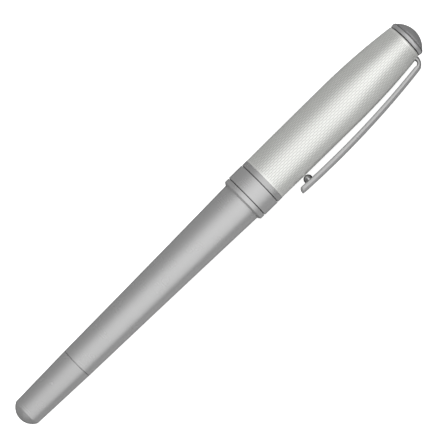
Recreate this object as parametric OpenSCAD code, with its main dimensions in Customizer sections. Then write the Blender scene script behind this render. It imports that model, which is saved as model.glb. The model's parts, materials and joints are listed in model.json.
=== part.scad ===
// Capped metal rollerball pen, lying on a table with its clip touching the surface.
// Every piece is drawn in the pen's own frame: the axis along +X, the tail end at x = 0
// and the clip towards -Y. lay() then turns the pen until the clip reaches the table.

/* [Lengths along the pen] */
// Height of the domed tail end
tail_dome_l = 2.4; // [2.1:0.1:2.5]
// Length of the tail cap's cone, from the dome to the seam
tail_cap_l = 17.6; // [16.8:0.2:18.4]
// Length of the barrel, from the seam to the cap's mouth
barrel_l = 57.8; // [57:0.2:58.8]
// Length of the lip ring at the cap's mouth
lip_l = 1.7; // [1.6:0.1:2]
// Length of the wide middle band
band_l = 4.4; // [4:0.1:4.8]
// Length of the ring between the band and the cap's shell
upper_ring_l = 1.5; // [1.3:0.1:1.7]
// Width of the dark grooves between the rings
groove_w = 0.2; // [0.15:0.05:0.3]
// Length of the cap's engraved shell
shell_l = 49.3; // [49.1:0.2:50.1]
// Width of the dark gap under the finial
head_gap = 0.3; // [0.25:0.05:0.35]
// Height of the finial
finial_l = 3.6; // [3.5:0.1:3.8]

/* [Diameters] */
// Diameter of the middle band, the widest place
band_d = 13; // [12.9:0.05:13.2]
// Diameter at the edge of the tail dome
tail_d = 7.74; // [7.6:0.02:7.9]
// Diameter at the seam between tail cap and barrel
seam_d = 8.8; // [8.7:0.02:9]
// Diameter of the barrel where it enters the cap
mouth_d = 11.3; // [11.22:0.02:11.34]
// Diameter of the shell beside the upper ring
shell_base_d = 12.84; // [12.8:0.02:12.9]
// Diameter of the shell at its fullest
shell_belly_d = 13; // [12.94:0.02:13]
// Diameter of the shell under the finial
shell_top_d = 10.2; // [10.1:0.02:10.3]
// Diameter of the finial's rim
finial_d = 10.3; // [10.26:0.02:10.5]

/* [Clip] */
// Width of the clip
clip_w = 2.4; // [2.2:0.1:2.6]
// Thickness of the clip's arm at its middle
clip_t = 1.68; // [1.6:0.02:1.72]
// Distance from the pen's axis to the middle of the arm where it bows out furthest
clip_reach = 8.97; // [8.95:0.02:9.05]
// Radius of the ball under the clip's free end
clip_ball_r = 1.2; // [1.15:0.05:1.25]

/* [Writing end] */
// Diameter of the grip just behind the nose cone
nose_d = 8; // [7.9:0.1:8.2]
// Length of the refill from its tail to the writing point
refill_l = 110.5; // [110:0.1:111]
// Diameter of the refill's body
refill_d = 6.1; // [6:0.02:6.12]
// Diameter of the writing ball
ball_d = 0.7; // [0.6:0.05:0.75]

/* [Screw joint of barrel and grip] */
// Rise of the thread in one turn
pitch = 0.75; // [0.75:0.05:0.8]
// Radial play between the two threads
thread_play = 0.08; // [0.07:0.01:0.09]

/* [Hidden] */
$fn = 72;

satin = [0.63, 0.63, 0.64];
engraved = [0.86, 0.87, 0.84];
finial_grey = [0.45, 0.45, 0.46];
dark = [0.25, 0.25, 0.26];
polished = [0.8, 0.8, 0.82];
black = [0.12, 0.12, 0.12];
brass = [0.78, 0.66, 0.4];
ink_blue = [0.16, 0.2, 0.42];

// fits: a shaft in its hole has this much radial room
slip = 0.03;
// room between faces that meet on two bodies
face_gap = 0.05;

// stations along the axis
x_seam = tail_dome_l + tail_cap_l;
x_mouth = x_seam + barrel_l;
x_lip_end = x_mouth + lip_l;
x_band = x_lip_end + groove_w;
x_band_end = x_band + band_l;
x_upper = x_band_end + groove_w;
x_shell = x_upper + upper_ring_l;
x_top = x_shell + shell_l;
x_finial = x_top + head_gap;
pen_l = x_finial + finial_l;
// the barrel ends just inside the cap's mouth, and the grip starts there
x_joint = x_mouth + 1;
x_tip = x_joint + 44.2;
x_refill = x_tip - refill_l;

// visible radii
band_r = band_d / 2;
tail_r = tail_d / 2;
seam_r = seam_d / 2;
mouth_r = mouth_d / 2;
ring_step = 0.05;
lip_r = band_r - ring_step;
upper_r = band_r - ring_step;
lip_face_r = 5.83;
lip_chamfer = 0.46;
seam_w = 0.12;
tail_dome_r = (tail_r * tail_r + tail_dome_l * tail_dome_l) / (2 * tail_dome_l);
// the barrel widens slowly at first, then a little faster towards the cap
flare = 0.22;
function widened(f) = (f + flare * f * f) / (1 + flare);
function barrel_r(x) = seam_r + (mouth_r - seam_r) * widened((x - x_seam) / barrel_l);

// the shell swells a little to its belly, then closes in on one long arc
belly_at = 26.5;
top_run = shell_l - belly_at;
top_drop = (shell_belly_d - shell_top_d) / 2;
top_arc_r = (top_run * top_run + top_drop * top_drop) / (2 * top_drop);
function swell_r(s) = (shell_base_d + (shell_belly_d - shell_base_d) * sin(90 * s / belly_at)) / 2;
function close_r(s) = shell_belly_d / 2 - top_arc_r + sqrt(pow(top_arc_r, 2) - pow(s - belly_at, 2));
function shell_r(x) = x - x_shell < belly_at ? swell_r(x - x_shell) : close_r(x - x_shell);
shell_wall = 0.55;
shell_bore_r = shell_belly_d / 2 - shell_wall;
function shell_in_r(x) = min(shell_bore_r, shell_r(x) - shell_wall);

// the sleeve under the rings, and the liner inside it
sleeve_r = 6.08;
sleeve_in_r = 5.6;
sleeve_end = x_shell + 6;
liner_r = sleeve_in_r - slip;
liner_wall = 0.42;
liner_in_r = liner_r - liner_wall;
liner_nose_r = 3.4;
liner_cone = x_tip - 22;
liner_end = x_tip + 6.2;
liner_floor = 0.8;
lip_bore_r = 5.7;

// the cap's head: a bush pressed into the shell, the clip's collar, a washer and the finial
bush_0 = x_top - 5.4;
bush_1 = x_top - 2;
collar_1 = x_top - 0.02;
stud_r = 1.5;
stud_0 = bush_0 + 0.6;
stud_1 = pen_l - 1.1;
finial_r = finial_d / 2;
finial_dome_r = 6.1;
finial_dome_edge = 4.5;
finial_bead = 0.85;
finial_foot = 0.7;
// the fine groove between the finial's rim and its dome
finial_groove_r = 4.5;
finial_groove = [x_finial + 1.06, x_finial + 1.1];
finial_cut = [71, 57];
finial_foot_r = finial_r - 0.13;

// threads of the grip's sleeve and of the barrel's bush
thread_sides = 32;
rows_per_turn = 8;
thread_depth = 0.4;
sleeve_root = 4.05;
sleeve_bore = 3.2;
sleeve_spigot = 3.9;
male_0 = x_joint - 5.8;
male_1 = x_joint - 1.8;
female_0 = male_0 - 0.25;
female_1 = male_1 + 0.25;
bush_root = sleeve_root + thread_play;
bush_relief = 4.6;
bush_r = 4.95;
bush_front = x_joint - 0.1;
bush_back = female_0 - 0.55;

// the barrel's bores
barrel_bore = 3.3;
tail_spigot_r = 3.6;
tail_spigot_end = x_seam + 7.3;
refill_bore = 3.15;
spring_bore = 2.9;
spring_seat = 3.9;
spring_bore_end = x_refill - 0.9;

// the grip
ring_r = 5.05;
ring_end = x_joint + 1.5;
grip_0 = ring_end + face_gap;
snap_0 = x_joint + 3.2;
snap_l = 1.5;
snap_r = 5.08;
snap_seat_r = 4.5;
grip_r = 4.8;
grip_taper = x_joint + 10;
grip_taper_r = 4.52;
waist_0 = x_joint + 21;
waist_1 = x_joint + 29;
waist_r = 4.2;
x_nose = x_joint + 33.2;
nose_r = nose_d / 2;
nose_end_r = 1.75;
nose_end = x_joint + 42.2;
nose_spigot = x_nose - 6;
nose_spigot_r = 3.5;
nose_bore = 1.3;
x_shoulder = x_nose - 2.35;
sleeve_end_grip = x_joint + 9.2;

// the refill, counted back from the writing point
refill_r = refill_d / 2;
tube_in_r = refill_r - 0.2;
plug_rim = 0.5;
plug_l = 3.5;
nose_plug_l = 5;
neck_r = 1.15;
flange_1 = x_shoulder - face_gap;
flange_0 = flange_1 - 1.1;
neck_end = x_tip - 4;
tip_tail_r = 0.73;
tip_tail = neck_end - 3;
tip_cone = x_tip - 3.4;
tip_lip = x_tip - 0.28;
ink_r = 0.4;
ball_r = ball_d / 2;
x_ball = x_tip - ball_r;

// the spring between tail cap and refill
spring_wire_r = 0.2;
spring_r = 2.2;
spring_turns = 7;
spring_sides = 6;
spring_steps = 16;
spring_0 = spring_seat + spring_wire_r + face_gap;
spring_1 = x_refill - spring_wire_r - face_gap;

// the clip: a short leg out of the shell's top, a bend, and a long bowed arm
leg_t = 1.15;
leg_x = x_top - 0.1 - leg_t / 2;
leg_foot = 3.2;
bend_r = 1.7;
bend_slim = 0.35;
bow_x = x_top - 32.6;
arm_x = leg_x - bend_r;
arm_drop = 1.86;
arm_run = arm_x - bow_x;
bow_r = (arm_run * arm_run + arm_drop * arm_drop) / (2 * arm_drop);
arm_end = x_top - 43.95;
nose_run = 0.95;
nose_lift = 0.42;
root_t = 1.45;
collar_room = 0.15;
clip_ball_x = x_top - 41.4;
function bow_d(x) = clip_reach - bow_r + sqrt(bow_r * bow_r - (x - bow_x) * (x - bow_x));
function arm_t(x) = x < bow_x ? clip_t : clip_t + (root_t - clip_t) * (x - bow_x) / arm_run;
function lean(x) = asin((x - bow_x) / bow_r);

// the clip's cross-section for a width w and a thickness t: [across, outwards]
crown_u = 0.54;
crown_v = 0.42;
half_section = [[0.86, -0.5], [1, -0.38], [1, 0], [crown_u, crown_v]];
function section(w, t) = concat(
    [for (p = half_section) [p[0] * w / 2, p[1] * t]],
    [[0, t / 2]],
    [for (i = [len(half_section) - 1:-1:0]) [-half_section[i][0] * w / 2, half_section[i][1] * t]]);

// the pen is turned about its axis until the clip's crown touches what the band rests on
crown = [crown_u * clip_w / 2, clip_reach + crown_v * clip_t];
turn = asin(band_r / norm(crown)) - atan2(crown[0], crown[1]);
clip_side = crown[1] * cos(turn) + crown[0] * sin(turn);

module lay() {
    translate([-pen_l / 2, (clip_side - band_r) / 2, band_r]) rotate([turn, 0, 0]) children();
}

// a turned piece from its outline, given as [x, radius] points
module lathe(outline) {
    rotate([0, 90, 0]) rotate_extrude() polygon([for (p = outline) [p[1], p[0]]]);
}

module tube(x0, x1, r_out, r_in) {
    lathe([[x0, r_in], [x0, r_out], [x1, r_out], [x1, r_in]]);
}

module rod(x0, x1, r) {
    translate([x0, 0, 0]) rotate([0, 90, 0]) cylinder(h = x1 - x0, r = r);
}

// points of an arc about [cx, cr], from angle a0 to a1
function arc(cx, cr, r, a0, a1, n) =
    [for (i = [0:n]) let (a = a0 + (a1 - a0) * i / n) [cx + r * cos(a), cr + r * sin(a)]];

// a closed skin over rings that all have the same number of points
module skin(rings, looped) {
    m = len(rings);
    n = len(rings[0]);
    last = looped ? m - 1 : m - 2;
    sides = [for (i = [0:last], j = [0:n - 1])
        let (a = i * n + j, b = i * n + (j + 1) % n, c = ((i + 1) % m) * n + j)
        let (d = ((i + 1) % m) * n + (j + 1) % n)
        each [[a, c, b], [b, c, d]]];
    e = (m - 1) * n;
    ends = looped ? [] : [for (j = [1:n - 2]) each [[0, j, j + 1], [e, e + j + 1, e + j]]];
    polyhedron([for (ring = rings) each ring], concat(sides, ends), convexity = 6);
}

// a right-hand thread's height above its root, from 0 to 1
function ridge(x, a) = (1 - cos(360 * x / pitch - a)) / 2;
function thread_ring(x, r, depth) =
    [for (j = [0:thread_sides - 1]) let (a = 360 * j / thread_sides, h = r + depth * ridge(x, a))
        [x, h * cos(a), h * sin(a)]];
function round_ring(x, r) = thread_ring(x, r, 0);
// rings from x0 to x1; the ridge grows from fade at each end to its full depth
function thread_rings(x0, x1, r, depth, end_r) =
    let (n = round((x1 - x0) / pitch * rows_per_turn), fade = rows_per_turn / 2)
    [for (i = [0:n]) let (f = min(1, i / fade, (n - i) / fade))
        thread_ring(x0 + (x1 - x0) * i / n, end_r + (r - end_r) * f, depth * f)];

// grip and its fittings

module grip_section() {
    color(black) lay() lathe([
        [grip_0, sleeve_spigot + slip], [grip_0, grip_r], [snap_0, grip_r], [snap_0, snap_seat_r],
        [snap_0 + snap_l, snap_seat_r], [snap_0 + snap_l, grip_r],
        [grip_taper, grip_taper_r], [waist_0, waist_r], [waist_1, waist_r - 0.06],
        [x_nose, nose_r], [x_nose, nose_spigot_r + slip], [nose_spigot, nose_spigot_r + slip],
        [nose_spigot, refill_bore], [sleeve_end_grip, refill_bore],
        [sleeve_end_grip, sleeve_spigot + slip]]);
}

module section_ring() {
    color(satin) lay() tube(x_joint + face_gap, ring_end, ring_r, sleeve_spigot + slip);
}

module snap_ring() {
    edge = 0.3;
    color(polished) lay() lathe([
        [snap_0 + slip, snap_seat_r + slip], [snap_0 + slip, snap_r - edge],
        [snap_0 + edge, snap_r], [snap_0 + snap_l - edge, snap_r],
        [snap_0 + snap_l - slip, snap_r - edge], [snap_0 + snap_l - slip, snap_seat_r + slip]]);
}

module nose_cone() {
    lip = 0.3;
    color(satin) lay() lathe([
        [nose_spigot + slip, refill_bore], [nose_spigot + slip, nose_spigot_r], [x_nose, nose_spigot_r],
        [x_nose, nose_r], [nose_end - lip, nose_end_r + 0.08], [nose_end, nose_end_r - 0.15],
        [nose_end, nose_bore], [x_shoulder, nose_bore], [x_shoulder, refill_bore]]);
}

// the threaded sleeve that joins grip and barrel
module thread_sleeve() {
    outside = concat(
        thread_rings(male_0, male_1, sleeve_root, thread_depth, sleeve_root),
        [round_ring(x_joint, sleeve_root), round_ring(x_joint, sleeve_spigot),
            round_ring(sleeve_end_grip - slip, sleeve_spigot)]);
    bore = [round_ring(sleeve_end_grip - slip, sleeve_bore), round_ring(male_0, sleeve_bore)];
    color(brass) lay() skin(concat(outside, bore), true);
}

module o_ring() {
    o_ring_r = 0.25;
    color(black) lay() translate([x_joint - 0.7, 0, 0]) rotate([0, 90, 0]) rotate_extrude()
        translate([sleeve_root + o_ring_r + 0.01, 0]) circle(r = o_ring_r, $fn = 24);
}

// refill

module refill_tube() {
    color(satin) lay() tube(x_refill + plug_rim, flange_0, refill_r, tube_in_r);
}

module refill_plug() {
    color(black) lay() lathe([
        [x_refill, 0], [x_refill, refill_r], [x_refill + plug_rim, refill_r],
        [x_refill + plug_rim, tube_in_r - slip], [x_refill + plug_l, tube_in_r - slip],
        [x_refill + plug_l, 0]]);
}

module ink_reservoir() {
    color(ink_blue) lay() rod(x_refill + plug_l + 0.2, flange_0 - nose_plug_l - 0.2, tube_in_r - 2 * slip);
}

module refill_nose() {
    color(black) lay() lathe([
        [flange_0 - nose_plug_l, ink_r], [flange_0 - nose_plug_l, tube_in_r - slip],
        [flange_0, tube_in_r - slip], [flange_0, refill_r], [flange_1, refill_r], [flange_1, neck_r],
        [neck_end, neck_r], [neck_end, tip_tail_r + slip / 2],
        [tip_tail, tip_tail_r + slip / 2], [tip_tail, ink_r]]);
}

// the metal tip, crimped over the ball just past its middle
module refill_tip() {
    channel = 0.2;
    socket_r = ball_r + slip;
    lip_a = acos((tip_lip - x_ball) / socket_r);
    color(brass) lay() lathe(concat(
        [[tip_tail + slip, channel], [tip_tail + slip, tip_tail_r], [neck_end, tip_tail_r],
            [neck_end, neck_r], [tip_cone, neck_r], [tip_lip, ball_r + 0.12]],
        arc(x_ball, 0, socket_r, lip_a, 180 - asin(channel / socket_r), 6)));
}

module writing_ball() {
    color(polished) lay() translate([x_ball, 0, 0]) sphere(r = ball_r, $fn = 48);
}

// a compression spring whose end coils lie almost flat
module refill_spring() {
    steps = spring_turns * spring_steps;
    flatness = 0.078;
    function rise(f) = f - sin(360 * f) * flatness;
    rings = [for (i = [0:steps]) let (f = i / steps, a = 360 * spring_turns * f)
        let (x = spring_0 + (spring_1 - spring_0) * rise(f))
        [for (j = [0:spring_sides - 1]) let (b = 360 * j / spring_sides)
            let (r = spring_r + spring_wire_r * cos(b))
            [x + spring_wire_r * sin(b), r * cos(a), r * sin(a)]]];
    color(polished) lay() skin(rings, false);
}

// barrel

module barrel_tube() {
    x0 = x_seam + seam_w / 2;
    steps = 8;
    outside = [for (i = [0:steps]) let (x = x0 + (x_mouth - x0) * i / steps) [x, barrel_r(x)]];
    color(satin) lay() lathe(concat(outside, [
        [x_joint, mouth_r - slip], [x_joint, bush_r + slip], [bush_back - slip, bush_r + slip],
        [bush_back - slip, barrel_bore], [tail_spigot_end + slip, barrel_bore],
        [tail_spigot_end + slip, tail_spigot_r + slip], [x0, tail_spigot_r + slip]]));
}

// the barrel's threaded bush; its ends are cleared so that the ridges can leave
module barrel_bush() {
    top_r = bush_root + thread_depth;
    inside = concat(
        [round_ring(bush_back, top_r)],
        thread_rings(female_0, female_1, bush_root, thread_depth, top_r),
        [round_ring(female_1 + 0.1, bush_relief), round_ring(bush_front, bush_relief)]);
    n = len(inside);
    flipped = [for (i = [n - 1:-1:0]) inside[i]];
    color(brass) lay() skin(concat([round_ring(bush_back, bush_r), round_ring(bush_front, bush_r)],
        flipped), true);
}

module tail_cap() {
    x1 = x_seam - seam_w / 2;
    edge = acos(1 - tail_dome_l / tail_dome_r);
    color(satin) lay() lathe(concat(
        arc(tail_dome_r, 0, tail_dome_r, 180, 180 - edge, 8),
        [[x1, seam_r], [x1, tail_spigot_r], [tail_spigot_end, tail_spigot_r],
            [tail_spigot_end, refill_bore], [spring_bore_end, refill_bore],
            [spring_bore_end, spring_bore], [spring_seat, spring_bore], [spring_seat, 0]]));
}

// cap

module cap_shell() {
    steps = 16;
    outside = [for (i = [0:steps]) let (x = x_shell + shell_l * i / steps) [x, shell_r(x)]];
    inside = [for (i = [steps:-1:steps / 2 - 1]) let (x = x_shell + shell_l * i / steps)
        [x, shell_in_r(x)]];
    notch_0 = leg_x - leg_t / 2 - collar_room;
    notch_w = clip_w + 2 * collar_room;
    color(engraved) lay() difference() {
        lathe(concat(outside, inside, [[x_shell, shell_bore_r]]));
        translate([notch_0, -band_r, -notch_w / 2]) cube([shell_l, band_r, notch_w]);
    }
}

module band_sleeve() {
    x0 = x_lip_end - 0.35;
    color(dark) lay() lathe([
        [x0, sleeve_in_r], [x0, sleeve_r], [x_shell, sleeve_r], [x_shell, shell_bore_r - slip],
        [sleeve_end, shell_bore_r - slip], [sleeve_end, sleeve_in_r]]);
}

module lip_ring() {
    seat = x_lip_end - 0.4;
    color(satin) lay() lathe([
        [x_mouth, lip_bore_r], [x_mouth, lip_face_r], [x_mouth + lip_chamfer, lip_r], [x_lip_end, lip_r],
        [x_lip_end, sleeve_r + slip], [seat, sleeve_r + slip], [seat, lip_bore_r]]);
}

module center_band() {
    color(satin) lay() tube(x_band, x_band_end, band_r, sleeve_r + slip);
}

module upper_ring() {
    color(satin) lay() tube(x_upper, x_shell - 0.02, upper_r, sleeve_r + slip);
}

// the plastic liner that keeps the point from drying; it narrows to a closed end
module cap_liner() {
    x0 = x_joint + 0.5;
    color(black) lay() lathe([
        [x0, liner_in_r], [x0, liner_r], [liner_cone, liner_r], [x_tip, liner_nose_r + liner_wall],
        [liner_end, liner_nose_r + liner_wall], [liner_end, 0], [liner_end - liner_floor, 0],
        [liner_end - liner_floor, liner_nose_r], [x_tip, liner_nose_r], [liner_cone, liner_in_r]]);
}

module cap_bush() {
    color(brass) lay() lathe([
        [bush_0, stud_r], [bush_0, shell_in_r(bush_0) - 3 * slip],
        [bush_1, shell_in_r(bush_1) - 3 * slip], [bush_1, stud_r]]);
}

// the disc that holds the clip's foot under the finial
module clip_collar() {
    x0 = bush_1 + 0.02;
    slot_w = clip_w + 2 * collar_room;
    color(satin) lay() difference() {
        lathe([[x0, stud_r + slip], [x0, shell_in_r(collar_1) - slip],
            [collar_1, shell_in_r(collar_1) - slip], [collar_1, stud_r + slip]]);
        translate([x0 - 1, -band_r, -slot_w / 2]) cube([4, band_r - leg_foot + 0.2, slot_w]);
    }
}

module finial() {
    edge = asin(finial_dome_edge / finial_dome_r);
    hole_end = stud_1 + 0.05;
    color(finial_grey) lay() lathe(concat(
        [[x_finial, stud_r], [x_finial, finial_foot_r]],
        arc(x_finial + finial_foot, finial_r - finial_bead, finial_bead, 90, finial_cut[0], 2),
        [for (x = finial_groove) [x, finial_groove_r]],
        arc(x_finial + finial_foot, finial_r - finial_bead, finial_bead, finial_cut[1], 12, 4),
        arc(pen_l - finial_dome_r, 0, finial_dome_r, edge, 0, 8),
        [[hole_end, 0], [hole_end, stud_r]]));
}

module finial_stud() {
    color(brass) lay() rod(stud_0, stud_1, stud_r - slip / 2);
}

module finial_washer() {
    color(black) lay() tube(x_top + 0.02, x_finial - 0.02, shell_in_r(x_top) - 0.1, stud_r + slip);
}

// clip

// one ring of the clip: its middle at [x, d], leaning by a degrees from the pen's axis
function clip_ring(x, d, a, w, t) =
    [for (p = section(w, t)) [x + p[1] * sin(a), -(d + p[1] * cos(a)), p[0]]];

module clip_arm() {
    bend_d = bow_d(arm_x) - bend_r * cos(lean(arm_x));
    leg = [for (d = [leg_foot, bend_d]) clip_ring(leg_x, d, 90, clip_w, leg_t)];
    bend_steps = 5;
    bend_a = 90 - lean(arm_x);
    bend = [for (i = [1:bend_steps - 1]) let (a = 90 - bend_a * i / bend_steps, f = i / bend_steps)
        clip_ring(leg_x - bend_r * (1 - sin(a)), bend_d + bend_r * cos(a), a, clip_w,
            leg_t + (root_t - leg_t) * f - bend_slim * sin(180 * f))];
    arm_steps = 12;
    before_bow = [for (i = [0:arm_steps]) let (x = arm_x - arm_run * i / arm_steps)
        clip_ring(x, bow_d(x), lean(x), clip_w, arm_t(x))];
    past_bow = [for (i = [1:3]) let (x = bow_x + (arm_end - bow_x) * i / 3)
        clip_ring(x, bow_d(x), lean(x), clip_w, clip_t)];
    // the free end is rounded off, more on the side towards the cap
    nose = [for (a = [25, 50, 70, 84]) let (x = arm_end - nose_run * sin(a), t = clip_t * cos(a))
        clip_ring(x, bow_d(x) + nose_lift * (clip_t - t), lean(x), clip_w * (0.45 + 0.55 * cos(a)), t)];
    color(satin) lay() skin(concat(leg, bend, before_bow, past_bow, nose), false);
}

// a polished ball let into the clip, which presses on the cap
module clip_ball() {
    ball_d = shell_r(clip_ball_x) + face_gap + clip_ball_r;
    face_d = bow_d(clip_ball_x) - clip_t / 2 - 0.02;
    color(polished) lay() difference() {
        translate([clip_ball_x, -ball_d, 0]) sphere(r = clip_ball_r, $fn = 48);
        translate([clip_ball_x, -face_d, 0]) rotate([0, 0, lean(clip_ball_x)])
            translate([-2, -4, -2]) cube([4, 4, 4]);
    }
}

grip_section();
section_ring();
snap_ring();
nose_cone();
thread_sleeve();
o_ring();
refill_tube();
refill_plug();
ink_reservoir();
refill_nose();
refill_tip();
writing_ball();
refill_spring();
barrel_tube();
barrel_bush();
tail_cap();
cap_shell();
band_sleeve();
lip_ring();
center_band();
upper_ring();
cap_liner();
cap_bush();
clip_collar();
finial();
finial_stud();
finial_washer();
clip_arm();
clip_ball();
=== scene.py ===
"""A capped metal rollerball pen: its fine pieces, engraved shell, clip and finishes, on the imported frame."""

import json
import math

import bmesh
import bpy
import numpy as np
from mathutils import Matrix, Vector


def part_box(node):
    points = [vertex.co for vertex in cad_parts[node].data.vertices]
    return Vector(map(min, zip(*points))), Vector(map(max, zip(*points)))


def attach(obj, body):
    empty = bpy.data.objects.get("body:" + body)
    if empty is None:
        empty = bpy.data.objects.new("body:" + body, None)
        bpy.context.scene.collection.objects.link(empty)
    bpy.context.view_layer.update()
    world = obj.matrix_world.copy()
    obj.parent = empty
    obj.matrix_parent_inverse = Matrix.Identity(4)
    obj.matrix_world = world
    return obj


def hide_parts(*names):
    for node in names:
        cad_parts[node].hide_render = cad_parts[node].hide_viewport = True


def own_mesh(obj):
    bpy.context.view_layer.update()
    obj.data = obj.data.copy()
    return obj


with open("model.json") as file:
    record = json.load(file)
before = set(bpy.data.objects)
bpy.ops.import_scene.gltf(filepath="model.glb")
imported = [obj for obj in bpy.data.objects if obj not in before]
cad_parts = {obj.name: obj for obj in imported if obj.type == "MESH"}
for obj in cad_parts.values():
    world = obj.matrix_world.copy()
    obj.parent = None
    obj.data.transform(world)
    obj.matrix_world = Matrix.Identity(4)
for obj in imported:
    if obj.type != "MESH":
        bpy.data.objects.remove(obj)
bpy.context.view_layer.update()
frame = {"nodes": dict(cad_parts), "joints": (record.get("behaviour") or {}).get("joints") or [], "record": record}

MM = 0.001
JOINTS = {j["name"]: j for j in frame["joints"]}

# The pen's own frame: the axis along +X from the tail end, OUT towards the clip, SIDE across it.
band_lo, band_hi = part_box("center_band")
tail_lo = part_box("tail_cap")[0]
ALONG = Vector((1.0, 0.0, 0.0))
SIDE = Vector(JOINTS["clip_flex"]["axis"]).normalized()
OUT = ALONG.cross(SIDE)
TAIL = Vector((tail_lo.x, (band_lo.y + band_hi.y) / 2, (band_lo.z + band_hi.z) / 2))


def place(x, out, side):
    """A point of the pen's own frame, in millimetres, as a point of the row frame."""
    return TAIL + (ALONG * x + OUT * out + SIDE * side) * MM


def ends(node):
    """Where a CAD node starts and ends along the pen, in millimetres from the tail end."""
    lo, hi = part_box(node)
    return (lo.x - TAIL.x) / MM, (hi.x - TAIL.x) / MM


def outer_r(node):
    """A turned CAD node's largest radius, in millimetres."""
    lo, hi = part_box(node)
    return max(hi.z - TAIL.z, TAIL.z - lo.z) / MM


# ---------------------------------------------------------------- stations and radii

PEN_L = ends("finial")[1]
# The table is what the band rests on, so the fine band stays a hair inside the CAD's.
BAND_R = round(outer_r("center_band"), 2) - 0.002
# Radial room between pieces that are pressed or glued together.
SLIP = 0.03

X_SEAM_0, X_BARREL_END = ends("barrel_tube")
X_MOUTH, X_LIP_END = ends("lip_ring")
X_BAND_0, X_BAND_1 = ends("center_band")
X_UPPER_0, X_UPPER_1 = ends("upper_ring")
X_SHELL_0, X_SHELL_1 = ends("cap_shell")
X_FINIAL = ends("finial")[0]

TAIL_CAP_END = ends("tail_cap")[1]
TAIL_DOME_L = 2.4
TAIL_R = 3.87
SEAM_R = 4.4
SEAM_W = 0.12
# The tail cap's rim is this much smaller than the barrel beside the seam.
TAIL_STEP = 0.007
X_SEAM = X_SEAM_0 - SEAM_W / 2
MOUTH_R = 5.65
FLARE = 0.22
TAIL_DOME_R = (TAIL_R**2 + TAIL_DOME_L**2) / (2 * TAIL_DOME_L)
TAIL_SPIGOT_R = 3.6
REFILL_BORE = 3.15
SPRING_BORE = 2.9
SPRING_SEAT = 3.9
BARREL_BORE = 3.3
BUSH_R = 4.95
BUSH_BACK = ends("barrel_bush")[0]

SLEEVE_R = 6.08
LIP_R = BAND_R - 0.05
LIP_FACE_R = 5.83
LIP_CHAMFER = 0.46
LIP_BORE_R = 5.7
UPPER_R = BAND_R - 0.05

SHELL_BASE_R = 6.42
SHELL_BELLY_R = 6.5
SHELL_TOP_R = 5.1
SHELL_WALL = 0.55
SHELL_L = X_SHELL_1 - X_SHELL_0
BELLY_AT = 26.5
TOP_DROP = SHELL_BELLY_R - SHELL_TOP_R
TOP_RUN = SHELL_L - BELLY_AT
TOP_ARC_R = (TOP_RUN**2 + TOP_DROP**2) / (2 * TOP_DROP)

FINIAL_R = outer_r("finial")
FINIAL_DOME_R = 6.1
FINIAL_DOME_EDGE = 4.5
FINIAL_BEAD = 0.85
FINIAL_FOOT = 0.7
# The fine groove in the finial's bead: its floor, and the angles at which the bead stops and goes on.
FINIAL_GROOVE_R = 4.5
FINIAL_GROOVE = (X_FINIAL + 1.06, X_FINIAL + 1.1)
FINIAL_CUT = (71, 57)
FINIAL_FOOT_R = FINIAL_R - 0.13
STUD_R = 1.5
STUD_END = ends("finial_stud")[1]

CLIP_W = 2.4
CLIP_T = 1.68
CLIP_ROOT_T = 1.45
CLIP_LEG_T = 1.15
CLIP_REACH = 8.97
CLIP_DROP = 1.86
BEND_R = 1.7
BEND_SLIM = 0.35
LEG_X = X_SHELL_1 - 0.1 - CLIP_LEG_T / 2
LEG_FOOT = 3.2
# Extra rings this far from the leg's foot and from its bend keep its sides straight.
LEG_RINGS = (0.5, 0.2)
ARM_X = LEG_X - BEND_R
BOW_X = X_SHELL_1 - 32.6
ARM_RUN = ARM_X - BOW_X
BOW_R = (ARM_RUN**2 + CLIP_DROP**2) / (2 * CLIP_DROP)
ARM_END = X_SHELL_1 - 43.95
NOSE_RUN = 0.95
NOSE_LIFT = 0.42
NOSE_W = 0.45
CLIP_BALL_X = X_SHELL_1 - 41.4
CLIP_BALL_R = 1.2
BALL_ROOM = 0.05
NOTCH_ROOM = 0.15


def shell_r(x):
    """The cap shell's outer radius at x."""
    s = x - X_SHELL_0
    if s < BELLY_AT:
        return SHELL_BASE_R + (SHELL_BELLY_R - SHELL_BASE_R) * math.sin(math.pi / 2 * s / BELLY_AT)
    return SHELL_BELLY_R - TOP_ARC_R + math.sqrt(TOP_ARC_R**2 - (s - BELLY_AT) ** 2)


def shell_in_r(x):
    return min(SHELL_BELLY_R - SHELL_WALL, shell_r(x) - SHELL_WALL)


def barrel_r(x):
    """The barrel's radius: it widens slowly at first, then a little faster towards the cap."""
    f = (x - X_SEAM) / (X_MOUTH - X_SEAM)
    return SEAM_R + (MOUTH_R - SEAM_R) * (f + FLARE * f * f) / (1 + FLARE)


# ---------------------------------------------------------------- mesh helpers

# An outline point nearer to the axis than this is on it.
ON_AXIS = 1e-6


def mesh_object(name, points, faces, body, slot, node=None, sharp=35.0, finish=None):
    """A smooth mesh piece that rides on a body and may stand for a CAD node.

    Edges steeper than sharp, in degrees, stay sharp. The finish is the slot's own unless another is named.
    """
    mesh = bpy.data.meshes.new(name)
    mesh.from_pydata([tuple(p) for p in points], [], [tuple(f) for f in faces])
    mesh.validate()
    mesh.update()
    mesh.polygons.foreach_set("use_smooth", [True] * len(mesh.polygons))
    mesh.set_sharp_from_angle(angle=math.radians(sharp))
    obj = bpy.data.objects.new(name, mesh)
    bpy.context.scene.collection.objects.link(obj)
    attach(obj, body)
    if node:
        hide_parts(node)
    mesh.materials.append(MATERIALS[finish or slot])
    return obj


def arc(cx, cr, r, start, stop, steps):
    """Outline points of an arc about (cx, cr), with angles in degrees."""
    angles = [math.radians(start + (stop - start) * i / steps) for i in range(steps + 1)]
    return [(cx + r * math.cos(a), cr + r * math.sin(a)) for a in angles]


# How far a turned piece's corners are rounded: most of them, and the rings of the cap's mouth.
SOFT_EDGE = 0.03
RING_EDGE = 0.05
# Bends gentler than this belong to a curve, and stay as they are.
REAL_CORNER = math.radians(14)
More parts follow.
